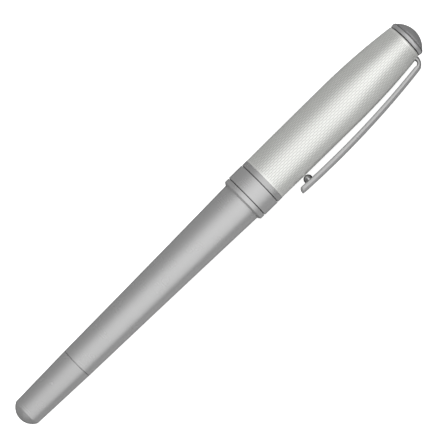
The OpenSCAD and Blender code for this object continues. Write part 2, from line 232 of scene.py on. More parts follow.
# A support point lies this share of the rounding past it, where both fit on the outline's leg.
SUPPORT = 0.35
LONGEST_CUT, LONGEST_REACH = 0.4, 0.45


def eased(outline, r, steps=4):
    """The closed outline with each real corner rounded off, and a support point past each rounding."""
    n = len(outline)
    out = []
    for i, p in enumerate(outline):
        a = np.array(outline[i - 1], float)
        b = np.array(p, float)
        c = np.array(outline[(i + 1) % n], float)
        back, ahead = a - b, c - b
        la, lc = np.linalg.norm(back), np.linalg.norm(ahead)
        back, ahead = back / la, ahead / lc
        bend = math.pi - math.acos(max(-1.0, min(1.0, float(back @ ahead))))
        if bend < REAL_CORNER or p[1] < ON_AXIS:
            out.append(p)
            continue
        cut = min(r * math.tan(bend / 2), LONGEST_CUT * la, LONGEST_CUT * lc)
        reach = cut * (1 + SUPPORT)
        if reach < LONGEST_REACH * la:
            out.append(tuple(b + back * reach))
        start, stop = b + back * cut, b + ahead * cut
        for k in range(steps + 1):
            f = k / steps
            q = (1 - f) ** 2 * start + 2 * f * (1 - f) * b + f**2 * stop
            out.append(tuple(q))
        if reach < LONGEST_REACH * lc:
            out.append(tuple(b + ahead * reach))
    return out


def lathe(name, outline, body, slot, node=None, turns=160, origin=None, axes=None, finish=None):
    """A turned piece: a closed outline of (x, radius) points swept round the pen's axis, or given axes."""
    centre = origin if origin is not None else TAIL
    along, u, v = axes if axes is not None else (ALONG, OUT, SIDE)
    points, first = [], []
    for x, r in outline:
        first.append(len(points))
        if r < ON_AXIS:
            points.append(centre + along * x * MM)
            continue
        for j in range(turns):
            a = 2 * math.pi * j / turns
            points.append(centre + (along * x + u * r * math.cos(a) + v * r * math.sin(a)) * MM)
    faces = []
    n = len(outline)
    for i in range(n):
        k = (i + 1) % n
        on_axis, next_on_axis = outline[i][1] < ON_AXIS, outline[k][1] < ON_AXIS
        if on_axis and next_on_axis:
            continue
        a, b = first[i], first[k]
        for j in range(turns):
            m = (j + 1) % turns
            if on_axis:
                faces.append((a, b + j, b + m))
            elif next_on_axis:
                faces.append((a + j, b, a + m))
            else:
                faces.append((a + j, b + j, b + m, a + m))
    obj = mesh_object(name, points, faces, body, slot, node, finish=finish)
    face_outwards(obj)
    return obj


def face_outwards(obj):
    """Turns every face so that a closed piece's normals point out."""
    bm = bmesh.new()
    bm.from_mesh(obj.data)
    bmesh.ops.recalc_face_normals(bm, faces=bm.faces)
    bm.to_mesh(obj.data)
    bm.free()


def ring_grid(name, rings, body, slot, node=None, looped=False, sharp=35.0, finish=None):
    """A closed skin over rings that all have the same number of points."""
    n = len(rings[0])
    points = [p for ring in rings for p in ring]
    faces = []
    last = len(rings) if looped else len(rings) - 1
    for i in range(last):
        a, b = i * n, ((i + 1) % len(rings)) * n
        for j in range(n):
            m = (j + 1) % n
            faces.append((a + j, b + j, b + m, a + m))
    if not looped:
        for base in (0, (len(rings) - 1) * n):
            middle = sum((Vector(points[base + j]) for j in range(n)), Vector()) / n
            points.append(middle)
            hub = len(points) - 1
            faces += [(hub, base + j, base + (j + 1) % n) for j in range(n)]
    obj = mesh_object(name, points, faces, body, slot, node, sharp=sharp, finish=finish)
    face_outwards(obj)
    return obj


# ---------------------------------------------------------------- materials


# The part of a noise's values that is spread over a whole range; few lie outside it.
MIDDLE = (0.3, 0.7)


class Nodes:
    """Short calls for building one material's node tree."""

    def __init__(self, name):
        self.material = bpy.data.materials.new(name)
        self.material.use_nodes = True
        self.tree = self.material.node_tree
        self.tree.nodes.clear()
        self.output = self.tree.nodes.new("ShaderNodeOutputMaterial")
        self.shader = self.tree.nodes.new("ShaderNodeBsdfPrincipled")
        self.link(self.shader.outputs[0], self.output.inputs["Surface"])
        self.coords = self.tree.nodes.new("ShaderNodeTexCoord").outputs["Object"]

    def link(self, a, b):
        self.tree.links.new(a, b)

    def mapped(self, scale, rotation=(0.0, 0.0, 0.0)):
        node = self.tree.nodes.new("ShaderNodeMapping")
        node.inputs["Scale"].default_value = scale
        node.inputs["Rotation"].default_value = rotation
        self.link(self.coords, node.inputs["Vector"])
        return node.outputs[0]

    def noise(self, scale, detail=3.0, rough=0.5, stretch=(1.0, 1.0, 1.0)):
        node = self.tree.nodes.new("ShaderNodeTexNoise")
        node.inputs["Scale"].default_value = scale
        node.inputs["Detail"].default_value = detail
        node.inputs["Roughness"].default_value = rough
        self.link(self.mapped(stretch), node.inputs["Vector"])
        return node.outputs["Fac"]

    def scratches(self, scale, stretch):
        """1 on the thin edges between stretched, slanted cells and 0 inside them."""
        slant, width = (0.5, 0.3, 0.9), 0.03
        node = self.tree.nodes.new("ShaderNodeTexVoronoi")
        node.feature = "DISTANCE_TO_EDGE"
        node.inputs["Scale"].default_value = scale
        self.link(self.mapped(stretch, slant), node.inputs["Vector"])
        return self.ranged(node.outputs["Distance"], 0.0, width, 1.0, 0.0)

    def ranged(self, value, a, b, lo, hi):
        node = self.tree.nodes.new("ShaderNodeMapRange")
        for key, number in (("From Min", a), ("From Max", b), ("To Min", lo), ("To Max", hi)):
            node.inputs[key].default_value = number
        self.link(value, node.inputs["Value"])
        return node.outputs["Result"]

    def math(self, kind, a, b):
        node = self.tree.nodes.new("ShaderNodeMath")
        node.operation = kind
        for socket, value in zip(node.inputs, (a, b)):
            if isinstance(value, (int, float)):
                socket.default_value = value
            else:
                self.link(value, socket)
        return node.outputs[0]

    def weighted(self, a, share_a, b, share_b):
        return self.math("ADD", self.math("MULTIPLY", a, share_a), self.math("MULTIPLY", b, share_b))

    def ramp(self, value, low, high, at=MIDDLE):
        node = self.tree.nodes.new("ShaderNodeValToRGB")
        for element, colour, where in zip(node.color_ramp.elements, (low, high), at):
            element.color = (*colour, 1.0)
            element.position = where
        self.link(value, node.inputs["Fac"])
        return node.outputs["Color"]

    def bump(self, height, distance):
        node = self.tree.nodes.new("ShaderNodeBump")
        node.inputs["Strength"].default_value = 1.0
        node.inputs["Distance"].default_value = distance
        self.link(height, node.inputs["Height"])
        self.link(node.outputs["Normal"], self.shader.inputs["Normal"])

    def attribute(self, name):
        node = self.tree.nodes.new("ShaderNodeAttribute")
        node.attribute_name = name
        return node.outputs["Fac"]

    def set(self, **values):
        for key, value in values.items():
            self.shader.inputs[key.replace("_", " ")].default_value = value


def tint(colour, share):
    return tuple(c * share for c in colour)


def metal(name, colour, rough, grain=0.05, spread=0.05, turned=0.0, worn=0.04, bump=0.002, share=1.0):
    """Metal with a fine grain, slow clouds of colour and gloss, faint turning lines and hairline scratches.

    A share below 1 gives the chalky scatter of a blasted or pearl-plated surface.
    """
    n = Nodes(name)
    n.set(Metallic=share)
    clouds = n.noise(220.0, 3.0)
    fine = n.noise(9000.0, 2.0, 0.6)
    round_the_pen = (9.0, 0.12, 0.12)
    lines = n.noise(900.0, 4.0, 0.7, round_the_pen)
    hair = n.scratches(420.0, (1.0, 0.35, 0.35))

    mixed = n.weighted(clouds, 0.6, fine, 0.4)
    shade = n.ramp(mixed, tint(colour, 1 - spread), tint(colour, 1 + spread))
    n.link(shade, n.shader.inputs["Base Color"])

    line_gloss = turned * 0.1
    gloss = n.ranged(clouds, *MIDDLE, rough - grain, rough + grain)
    gloss = n.math("ADD", gloss, n.math("MULTIPLY", hair, -worn))
    gloss = n.math("ADD", gloss, n.ranged(lines, *MIDDLE, -line_gloss, line_gloss))
    n.link(gloss, n.shader.inputs["Roughness"])

    scratch_depth = 0.05
    height = n.weighted(fine, 1.0 - turned, lines, turned * 2.0)
    n.bump(n.math("ADD", height, n.math("MULTIPLY", hair, -scratch_depth)), bump * MM)
    return n.material


# How dark the painted shade in the engraving's valleys is, and how high up their sides it reaches, as shares.
PAINTED_VALLEY_SHADE = 0.42
PAINTED_SHADE_RIM = 0.55


def engraved_metal(name, colour):
    """Bright silver. The engraved rows are real geometry, and painted shade darkens their valleys."""
    n = Nodes(name)
    n.set(Metallic=0.55)
    clouds = n.noise(260.0, 3.0)
    fine = n.noise(12000.0, 2.0, 0.6)
    bright = n.ramp(n.weighted(clouds, 0.5, fine, 0.5), tint(colour, 0.96), tint(colour, 1.03))
    # Painted shade: the low places of the engraving are darkened towards the valley colour.
    painted_valley_shade = n.ranged(n.attribute("engraved"), 0.0, PAINTED_SHADE_RIM, 1.0, 0.0)
    mix = n.tree.nodes.new("ShaderNodeMix")
    mix.data_type = "RGBA"
    mix.blend_type = "MIX"
    colour_a, colour_b, mixed = mix.inputs[6], mix.inputs[7], mix.outputs[2]
    n.link(painted_valley_shade, mix.inputs["Factor"])
    n.link(bright, colour_a)
    # The colour of the painted shade in the valleys.
    colour_b.default_value = (*tint(colour, PAINTED_VALLEY_SHADE), 1.0)
    n.link(mixed, n.shader.inputs["Base Color"])
    n.link(n.ranged(clouds, *MIDDLE, 0.2, 0.27), n.shader.inputs["Roughness"])
    n.bump(fine, 0.003 * MM)
    return n.material


def plastic(name, colour, rough, bump=0.004, specular=0.45):
    """Moulded plastic or rubber: fine texture, patches of handling gloss."""
    n = Nodes(name)
    n.set(Specular_IOR_Level=specular)
    clouds = n.noise(180.0, 4.0)
    fine = n.noise(7000.0, 3.0, 0.65)
    shade = n.ramp(clouds, tint(colour, 0.8), tint(colour, 1.35), (0.3, 0.75))
    n.link(shade, n.shader.inputs["Base Color"])
    n.link(n.ranged(clouds, *MIDDLE, rough - 0.06, rough + 0.08), n.shader.inputs["Roughness"])
    n.bump(fine, bump * MM)
    return n.material


def fibre(name, colour):
    """Ink-soaked fibre bundle: strands along the pen."""
    n = Nodes(name)
    strands = n.noise(4000.0, 4.0, 0.7, (0.05, 1.0, 1.0))
    soak = n.noise(150.0, 3.0)
    mixed = n.weighted(strands, 0.6, soak, 0.4)
    n.link(n.ramp(mixed, tint(colour, 0.5), tint(colour, 1.6)), n.shader.inputs["Base Color"])
    n.link(n.ranged(soak, *MIDDLE, 0.6, 0.85), n.shader.inputs["Roughness"])
    n.bump(strands, 0.02 * MM)
    return n.material


# The satin plating of the barrel, rings and clip, and the even finer one of the finial.
SATIN = {
    "rough": 0.26, "grain": 0.02, "spread": 0.015, "turned": 0.06, "worn": 0.006, "bump": 0.001,
    "share": 0.6}
PEARL = {
    "rough": 0.26, "grain": 0.015, "spread": 0.01, "turned": 0.05, "worn": 0.006, "bump": 0.001,
    "share": 0.62}
MATERIALS = {
    "satin_metal": metal("satin_metal", (0.61, 0.61, 0.61), **SATIN),
    # A darker copy of the satin plating: painted shade for the upper ring and the clip.
    "satin_metal_painted_shade": metal("satin_metal_painted_shade", (0.54, 0.54, 0.54), **SATIN),
    "engraved_metal": engraved_metal("engraved_metal", (0.945, 0.952, 0.92)),
    "finial_metal": metal("finial_metal", (0.60, 0.60, 0.605), **PEARL),
    "dark_metal": metal("dark_metal", (0.09, 0.09, 0.095), 0.42, turned=0.3),
    "polished_metal": metal(
        "polished_metal", (0.58, 0.58, 0.59), 0.08, grain=0.03, spread=0.02, bump=0.0004),
    "brass": metal("brass", (0.70, 0.52, 0.25), 0.28, turned=0.6),
    "refill_steel": metal("refill_steel", (0.60, 0.61, 0.63), 0.24, turned=0.4),
    "black_plastic": plastic("black_plastic", (0.018, 0.018, 0.02), 0.36),
    "rubber": plastic("rubber", (0.02, 0.02, 0.02), 0.62, bump=0.006, specular=0.3),
    "ink_fibre": fibre("ink_fibre", (0.04, 0.07, 0.28)),
}
SLOT_OF = {p["node"]: p["material_slot"] for p in frame["record"]["subparts"]}


# ---------------------------------------------------------------- barrel half


def tail_cap():
    edge = math.degrees(math.acos(1 - TAIL_DOME_L / TAIL_DOME_R))
    x1 = X_SEAM - SEAM_W / 2
    bore_step = 11.6
    dome = arc(TAIL_DOME_R, 0, TAIL_DOME_R, 180, 180 - edge, 28)
    dome[0] = (dome[0][0], 0.0)
    body = [
        (x1, SEAM_R - TAIL_STEP), (x1, TAIL_SPIGOT_R),
        (TAIL_CAP_END, TAIL_SPIGOT_R), (TAIL_CAP_END, REFILL_BORE),
        (bore_step, REFILL_BORE), (bore_step, SPRING_BORE),
        (SPRING_SEAT, SPRING_BORE), (SPRING_SEAT, 0.0)]
    lathe("tail_cap_turned", eased(dome + body, SOFT_EDGE), "barrel", "satin_metal", "tail_cap")


def barrel_tube():
    back = BUSH_BACK - SLIP
    spigot_end = TAIL_CAP_END + SLIP
    steps = 40
    xs = [X_SEAM_0 + (X_MOUTH - X_SEAM_0) * i / steps for i in range(steps + 1)]
    outline = [(X_SEAM_0, TAIL_SPIGOT_R + SLIP)]
    outline += [(x, barrel_r(x)) for x in xs]
    outline += [
        (X_BARREL_END, MOUTH_R - SLIP), (X_BARREL_END, BUSH_R + SLIP), (back, BUSH_R + SLIP),
        (back, BARREL_BORE), (spigot_end, BARREL_BORE), (spigot_end, TAIL_SPIGOT_R + SLIP)]
    lathe("barrel_tube_turned", eased(outline, SOFT_EDGE), "barrel", "satin_metal", "barrel_tube")


# ---------------------------------------------------------------- cap


RING_BORE = SLEEVE_R + SLIP
# How far the sleeve reaches into the lip ring.
LIP_SEAT = 0.4


def plain_ring(x0, x1, bore, r):
    """The outline of a ring with square corners."""
    return [(x0, bore), (x0, r), (x1, r), (x1, bore)]


def lip_ring():
    seat = X_LIP_END - LIP_SEAT
    outline = [
        (X_MOUTH, LIP_BORE_R), (X_MOUTH, LIP_FACE_R), (X_MOUTH + LIP_CHAMFER, LIP_R), (X_LIP_END, LIP_R),
        (X_LIP_END, RING_BORE), (seat, RING_BORE), (seat, LIP_BORE_R)]
    lathe("lip_ring_turned", eased(outline, RING_EDGE), "cap", "satin_metal", "lip_ring")


def center_band():
    outline = plain_ring(X_BAND_0, X_BAND_1, RING_BORE, BAND_R)
    lathe("center_band_turned", eased(outline, RING_EDGE), "cap", "satin_metal", "center_band")


def upper_ring():
    outline = plain_ring(X_UPPER_0, X_UPPER_1, RING_BORE, UPPER_R)
    # The ring takes the darker copy of the satin plating, which is painted shade.
    lathe(
        "upper_ring_turned", eased(outline, RING_EDGE), "cap", "satin_metal", "upper_ring",
        finish="satin_metal_painted_shade")


# The engraving: rows round the shell, each a string of grains cut in steps along it.
ROWS = 74
GRAIN_L = 1.46
GRAIN_STEPS = 8
DEPTH = 0.045
# How much wider a row is at a grain's middle than halfway, and how much lower it is at a grain's ends.
SWELL = 0.12
PINCH = 0.45
# The plain borders, and the length over which the engraving fades in beside them.
PLAIN_TOP = 0.25
PLAIN_FOOT = 0.12
FADE = 0.5


def fade(x):
    """How strongly the shell is engraved at x: full, but for a plain border at each end."""
    foot = (x - X_SHELL_0 - PLAIN_FOOT) / FADE
    top = (X_SHELL_1 - PLAIN_TOP - x) / FADE
    f = max(0.0, min(1.0, foot, top))
    return f * f * (3 - 2 * f)


# The mesh columns across a row, as shares of half its width, and each column's own row, place and start.
ACROSS = (-1.0, -0.5, 0.0, 0.5)
COLUMNS = ROWS * len(ACROSS)
ROW_OF = np.repeat(np.arange(ROWS), len(ACROSS))
PLACE_OF = np.tile(np.array(ACROSS), ROWS)
START_OF = np.where(ROW_OF % 2 == 0, 0.0, 0.5)

# The clip's leg passes through a notch in the shell's top.
X_NOTCH = LEG_X - CLIP_LEG_T / 2 - NOTCH_ROOM
# The steps along the shell's outside up to the notch's floor, and from there to its rounded rim.
CELLS = round((SHELL_L - PLAIN_TOP) / GRAIN_L * GRAIN_STEPS)
NOTCH_CELLS = 4
SHELL_RIM = 0.06
# Where the inside has its rings below the notch, as shares of the way down.
INNER_SHARES = (0.1, 0.2, 0.3, 0.4, 0.55, 0.7, 1.0)


def engraved_ring(x, r, cut):
    """Each column's angle, radius and height in the engraving at x; cut is the share of the full depth."""
    beat = np.cos(2 * np.pi * ((x - X_SHELL_0) / GRAIN_L - START_OF))
    angle = 2 * np.pi * (ROW_OF + PLACE_OF * (0.5 + SWELL * cut * beat)) / ROWS
    rise = (1 - PLACE_OF**4) * (1 - PINCH * (0.5 - 0.5 * beat) ** 2)
    radius = r - DEPTH * cut * (1 - rise)
    return angle, radius, np.where(cut > 0, rise * cut + (1 - cut), 1.0)


def shell_outline():
    """Outer and inner (x, radius, cut) points, from the foot up the outside and back down the inside."""
    below = [X_SHELL_0 + (X_NOTCH - X_SHELL_0) * i / CELLS for i in range(CELLS + 1)]
    above = [
        X_NOTCH + (X_SHELL_1 - SHELL_RIM - X_NOTCH) * i / NOTCH_CELLS for i in range(1, NOTCH_CELLS + 1)]
    outer = [(x, shell_r(x), fade(x)) for x in below + above]
    outer.append((X_SHELL_1 - SHELL_RIM / 3, shell_r(X_SHELL_1) - SHELL_RIM / 5, 0.0))
    outer.append((X_SHELL_1, shell_r(X_SHELL_1) - SHELL_RIM, 0.0))
    inner_xs = [p[0] for p in outer[CELLS:]][::-1]
    inner_xs += [X_NOTCH - (X_NOTCH - X_SHELL_0) * f for f in INNER_SHARES]
    return outer, [(x, shell_in_r(x), 0.0) for x in inner_xs]


def shell_faces(n_outer, n_inner, open_column):
    """Faces between the rings. The notch's columns stay open from its floor up, with walls round them."""
    rings = n_outer + n_inner
    # Each outer ring of the notched top, and the inner ring behind it.
    mirror = {i: 2 * n_outer - 1 - i for i in range(CELLS, n_outer)}
    faces = []
    for i in range(rings):
        k = (i + 1) % rings
        in_top = CELLS <= i < mirror[CELLS]
        for j in range(COLUMNS):
            if in_top and open_column[j]:
                continue
            m = (j + 1) % COLUMNS
            faces.append((i * COLUMNS + j, k * COLUMNS + j, k * COLUMNS + m, i * COLUMNS + m))
    for j in range(COLUMNS):
        if open_column[j]:
            m = (j + 1) % COLUMNS
            a, b = CELLS * COLUMNS, mirror[CELLS] * COLUMNS
            faces.append((a + j, b + j, b + m, a + m))
        if open_column[j] != open_column[j - 1]:
            for i in range(CELLS, n_outer - 1):
                pair = (i * COLUMNS + j, (i + 1) * COLUMNS + j)
                faces.append((*pair, mirror[i + 1] * COLUMNS + j, mirror[i] * COLUMNS + j))
    return faces


def cap_shell():
    """The shell, cut all over with rows of barley grains that swell and pinch in turn."""
    outer, inner = shell_outline()
    outline = outer + inner
    angles, radii, heights = (np.array(a) for a in zip(*(engraved_ring(*p) for p in outline)))
    xs = np.repeat(np.array([p[0] for p in outline])[:, None], COLUMNS, 1)
    pen = np.stack([xs, radii * np.cos(angles), radii * np.sin(angles)], -1)
    points = (pen.reshape(-1, 3) @ np.array([ALONG, OUT, SIDE])) * MM + np.array(TAIL)

    half = math.asin((CLIP_W / 2 + NOTCH_ROOM) / shell_r(X_NOTCH))
    turn = (angles[CELLS] + np.pi) % (2 * np.pi) - np.pi
    open_column = [abs(a) < half and abs(b) < half for a, b in zip(turn, np.roll(turn, -1))]
    faces = shell_faces(len(outer), len(inner), open_column)
    obj = mesh_object(
        "cap_shell_engraved", points, faces, "cap", "engraved_metal", "cap_shell", sharp=FORMED_SHARP)
    # The engraving's height at each point; the material paints shade into the low places from it.
    engraved = obj.data.attributes.new("engraved", "FLOAT", "POINT")
    engraved.data.foreach_set("value", heights.astype(np.float32).ravel())
    face_outwards(obj)


def finial():
    edge = math.degrees(math.asin(FINIAL_DOME_EDGE / FINIAL_DOME_R))
    hole_end = STUD_END + 0.05
    bead = (X_FINIAL + FINIAL_FOOT, FINIAL_R - FINIAL_BEAD, FINIAL_BEAD)
    outline = [(X_FINIAL, STUD_R), (X_FINIAL, FINIAL_FOOT_R)]
    outline += arc(*bead, 90, FINIAL_CUT[0], 6)
    outline += [(x, FINIAL_GROOVE_R) for x in FINIAL_GROOVE]
    outline += arc(*bead, FINIAL_CUT[1], 12, 14)
    dome = arc(PEN_L - FINIAL_DOME_R, 0, FINIAL_DOME_R, edge, 0, 36)
    dome[-1] = (PEN_L, 0.0)
    outline += dome + [(hole_end, 0.0), (hole_end, STUD_R)]
    lathe("finial_turned", eased(outline, SOFT_EDGE), "cap", "finial_metal", "finial")


# ---------------------------------------------------------------- clip

# Half of the clip's section, from underside to crown, as shares of half the width and of the thickness.
HALF_SECTION = [(0.86, -0.5), (1.0, -0.38), (1.0, 0.0), (0.54, 0.42)]
CROWN = (0.0, 0.5)
CLIP_EDGE = 0.09
# Formed pieces keep only their steepest edges sharp.
FORMED_SHARP = 50.0


def clip_section():
    """The clip's whole section with its corners cut twice, as shares of half width and of thickness."""
    left = [(-a, b) for a, b in reversed(HALF_SECTION)]
    ring = HALF_SECTION + [CROWN] + left
    size = np.array([CLIP_W / 2, CLIP_T])
    smooth = [tuple(np.array(p) * size) for p in ring]
    for _ in range(2):
        n = len(smooth)
        cut = []
        for i in range(n):
            a, b = np.array(smooth[i]), np.array(smooth[(i + 1) % n])
            keep = min(0.25, CLIP_EDGE / max(1e-6, float(np.linalg.norm(b - a))))
            cut += [tuple(a + (b - a) * keep), tuple(b - (b - a) * keep)]
        smooth = cut
    return [tuple(np.array(p) / size) for p in smooth]


def bow_d(x):
    """The bowed arm's distance from the pen's axis at x."""
    return CLIP_REACH - BOW_R + math.sqrt(BOW_R**2 - (x - BOW_X) ** 2)


def lean(x):
    return math.asin((x - BOW_X) / BOW_R)


def arm_t(x):
    """The arm's thickness, which falls from the bow to the root."""
    return CLIP_T if x < BOW_X else CLIP_T + (CLIP_ROOT_T - CLIP_T) * (x - BOW_X) / ARM_RUN


def clip_arm():
    section = clip_section()

    def ring(x, d, a, w, t):
        s, c = math.sin(a), math.cos(a)
        return [place(x + q * t * s, d + q * t * c, p * w / 2) for p, q in section]

    bend_d = bow_d(ARM_X) - BEND_R * math.cos(lean(ARM_X))
    quarter = math.pi / 2
    leg = (LEG_FOOT, LEG_FOOT + LEG_RINGS[0], bend_d - LEG_RINGS[1], bend_d)
    rings = [ring(LEG_X, d, quarter, CLIP_W, CLIP_LEG_T) for d in leg]
    bend_a = quarter - lean(ARM_X)
    steps = 18
    for i in range(1, steps):
        f = i / steps
        a = quarter - bend_a * f
        x, d = LEG_X - BEND_R * (1 - math.sin(a)), bend_d + BEND_R * math.cos(a)
        t = CLIP_LEG_T + (CLIP_ROOT_T - CLIP_LEG_T) * f - BEND_SLIM * math.sin(math.pi * f)
        rings.append(ring(x, d, a, CLIP_W, t))
    steps = 56
    for i in range(steps + 1):
        x = ARM_X + (ARM_END - ARM_X) * i / steps
        rings.append(ring(x, bow_d(x), lean(x), CLIP_W, arm_t(x)))
    for degrees in (10, 20, 30, 40, 50, 60, 68, 76, 82, 86):
        a = math.radians(degrees)
        x, t = ARM_END - NOSE_RUN * math.sin(a), CLIP_T * math.cos(a)
        w = CLIP_W * (NOSE_W + (1 - NOSE_W) * math.cos(a))
        rings.append(ring(x, bow_d(x) + NOSE_LIFT * (CLIP_T - t), lean(x), w, t))
    # The clip takes the darker copy of the satin plating, which is painted shade.
    ring_grid(
        "clip_arm_formed", rings, "clip", "satin_metal", "clip_arm", sharp=FORMED_SHARP, finish="satin_metal_painted_shade")


def clip_ball():
    """The polished ball, cut flat where it is let into the clip."""
    let_in = 0.02
    centre_d = shell_r(CLIP_BALL_X) + BALL_ROOM + CLIP_BALL_R
    face_d = bow_d(CLIP_BALL_X) - CLIP_T / 2 - let_in
    tilt = lean(CLIP_BALL_X)
    out = OUT * math.cos(tilt) + ALONG * math.sin(tilt)
    along = ALONG * math.cos(tilt) - OUT * math.sin(tilt)
    flat = (face_d - centre_d) * math.cos(tilt)
    cut = math.degrees(math.acos(flat / CLIP_BALL_R))
    outline = arc(0, 0, CLIP_BALL_R, 180, cut, 40)
    outline[0] = (-CLIP_BALL_R, 0.0)
    outline.append((flat, 0.0))
    centre, axes = place(CLIP_BALL_X, centre_d, 0), (out, along, SIDE)
    lathe("clip_ball_polished", outline, "clip", "polished_metal", "clip_ball", 96, centre, axes)


# ---------------------------------------------------------------- grip half

# Where the barrel's front face meets the grip's ring.
X_JOINT = X_BARREL_END
X_GRIP, X_NOSE = ends("grip_section")
GRIP_R = 4.8
# The grip's waist between the snap ring and the nose cone, as (distance from the joint, radius).
WAIST = [(10, 4.52), (21, 4.2), (29, 4.14)]
SLEEVE_SPIGOT = 3.9
# How far the sleeve's pocket reaches into the grip from the joint.
SLEEVE_POCKET = 9.2
SNAP_R = 5.08
SNAP_EDGE = 0.3
SNAP_SEAT_R = 4.5
NOSE_R = 4.0
# The cone's outside between its root and its lip, as (distance from the root, radius).
CONE = [(3, 3.27), (6, 2.51)]
NOSE_LIP = 0.3
NOSE_LIP_R = 1.83
NOSE_FACE_R = 1.6
NOSE_SPIGOT_R = 3.5
X_NOSE_SPIGOT = X_NOSE - 6
NOSE_BORE = 1.3
X_NOSE_SHOULDER = X_NOSE - 2.35
# How far the corners of these pieces are rounded.
SECTION_RING_SOFT = 0.1
GRIP_SOFT = 0.08
SNAP_SOFT = 0.2
NOSE_SOFT = 0.06


def curve_through(points, steps):
    """A smooth outline through a few (x, radius) points (Catmull-Rom)."""
    out = []
    pts = [points[0]] + list(points) + [points[-1]]
    for i in range(1, len(pts) - 2):
        p0, p1, p2, p3 = (np.array(pts[i + k], float) for k in (-1, 0, 1, 2))
        for k in range(steps):
            f = k / steps
            q = 2 * p1 + (p2 - p0) * f + (2 * p0 - 5 * p1 + 4 * p2 - p3) * f**2
            q = q + (3 * p1 - p0 - 3 * p2 + p3) * f**3
            out.append(tuple(q / 2))
    return out + [tuple(points[-1])]


def section_ring():
    outline = plain_ring(*ends("section_ring"), SLEEVE_SPIGOT + SLIP, outer_r("section_ring"))
    outline = eased(outline, SECTION_RING_SOFT, 5)
    lathe("section_ring_turned", outline, "section", "satin_metal", "section_ring")


def grip_section():
    bore = SLEEVE_SPIGOT + SLIP
    snap_0, snap_1 = ends("snap_ring")
    snap_0, snap_1 = snap_0 - SLIP, snap_1 + SLIP
    waist = [(X_JOINT + x, r) for x, r in WAIST]
    outline = [
        (X_GRIP, bore), (X_GRIP, GRIP_R), (snap_0, GRIP_R), (snap_0, SNAP_SEAT_R), (snap_1, SNAP_SEAT_R)]
    outline += curve_through([(snap_1, GRIP_R), *waist, (X_NOSE, NOSE_R)], 12)
    outline += [
        (X_NOSE, NOSE_SPIGOT_R + SLIP), (X_NOSE_SPIGOT, NOSE_SPIGOT_R + SLIP), (X_NOSE_SPIGOT, REFILL_BORE),
        (X_JOINT + SLEEVE_POCKET, REFILL_BORE), (X_JOINT + SLEEVE_POCKET, bore)]
    lathe("grip_section_moulded", eased(outline, GRIP_SOFT), "section", "black_plastic", "grip_section")


def snap_ring():
    x0, x1 = ends("snap_ring")
    bore, run = SNAP_SEAT_R + SLIP, SNAP_EDGE - SLIP
    outline = [
        (x0, bore), (x0, SNAP_R - SNAP_EDGE), (x0 + run, SNAP_R),
        (x1 - run, SNAP_R), (x1, SNAP_R - SNAP_EDGE), (x1, bore)]
    lathe("snap_ring_turned", eased(outline, SNAP_SOFT, 5), "section", "polished_metal", "snap_ring")


def nose_cone():
    x_end = ends("nose_cone")[1]
    x_spigot = X_NOSE_SPIGOT + SLIP
    cone = [(X_NOSE + x, r) for x, r in CONE]
    outline = [(x_spigot, REFILL_BORE), (x_spigot, NOSE_SPIGOT_R), (X_NOSE, NOSE_SPIGOT_R)]
    outline += curve_through([(X_NOSE, NOSE_R), *cone, (x_end - NOSE_LIP, NOSE_LIP_R)], 8)
    outline += [
        (x_end, NOSE_FACE_R), (x_end, NOSE_BORE), (X_NOSE_SHOULDER, NOSE_BORE),
        (X_NOSE_SHOULDER, REFILL_BORE)]
    lathe("nose_cone_turned", eased(outline, NOSE_SOFT), "section", "satin_metal", "nose_cone")


PITCH = 0.75
THREAD_DEPTH = 0.4
# How far short of the joint the thread stops.
THREAD_RELIEF = 1.8
SLEEVE_ROOT = 4.05
SLEEVE_BORE = 3.2


def thread_sleeve():
    """The grip's brass sleeve with its rolled thread, cut fine enough to show the helix."""
    male_0, sleeve_end = ends("thread_sleeve")
    male_1 = X_JOINT - THREAD_RELIEF
    sides, per_turn = 96, 16
    steps = round((male_1 - male_0) / PITCH * per_turn)
    fade_steps = per_turn / 2

    def ring(x, root, depth):
        out = []
        for j in range(sides):
            a = 2 * math.pi * j / sides
            r = root + depth * (1 - math.cos(2 * math.pi * x / PITCH + a)) / 2
            out.append(place(x, r * math.cos(a), r * math.sin(a)))
        return out

    rings = []
    for i in range(steps + 1):
        f = min(1.0, i / fade_steps, (steps - i) / fade_steps)
        rings.append(ring(male_0 + (male_1 - male_0) * i / steps, SLEEVE_ROOT, THREAD_DEPTH * f))
    for x, r in ((X_JOINT, SLEEVE_ROOT), (X_JOINT, SLEEVE_SPIGOT), (sleeve_end, SLEEVE_SPIGOT),
                 (sleeve_end, SLEEVE_BORE), (male_0, SLEEVE_BORE)):
        rings.append(ring(x, r, 0.0))
    ring_grid(
        "thread_sleeve_rolled", rings, "section", "brass", "thread_sleeve", looped=True, sharp=FORMED_SHARP)


WRITING_BALL_R = 0.35
X_TIP = ends("writing_ball")[1]
X_BALL = X_TIP - WRITING_BALL_R
SOCKET_R = WRITING_BALL_R + SLIP
SOCKET_WALL = 0.12
INK_CHANNEL_R = 0.2
TIP_TAIL_R = 0.73
TIP_NECK_R = 1.15
X_TIP_NECK = X_TIP - 4
X_TIP_CONE = X_TIP - 3.4


def refill_tip():
    x0, x1 = ends("refill_tip")
    outline = [
        (x0, INK_CHANNEL_R), (x0, TIP_TAIL_R), (X_TIP_NECK, TIP_TAIL_R), (X_TIP_NECK, TIP_NECK_R),
        (X_TIP_CONE, TIP_NECK_R), (x1, WRITING_BALL_R + SOCKET_WALL)]
    lip = math.degrees(math.acos((x1 - X_BALL) / SOCKET_R))
    channel = 180 - math.degrees(math.asin(INK_CHANNEL_R / SOCKET_R))
    outline += arc(X_BALL, 0, SOCKET_R, lip, channel, 12)
    lathe("refill_tip_turned", eased(outline, SOFT_EDGE), "refill", "refill_steel", "refill_tip", 96)


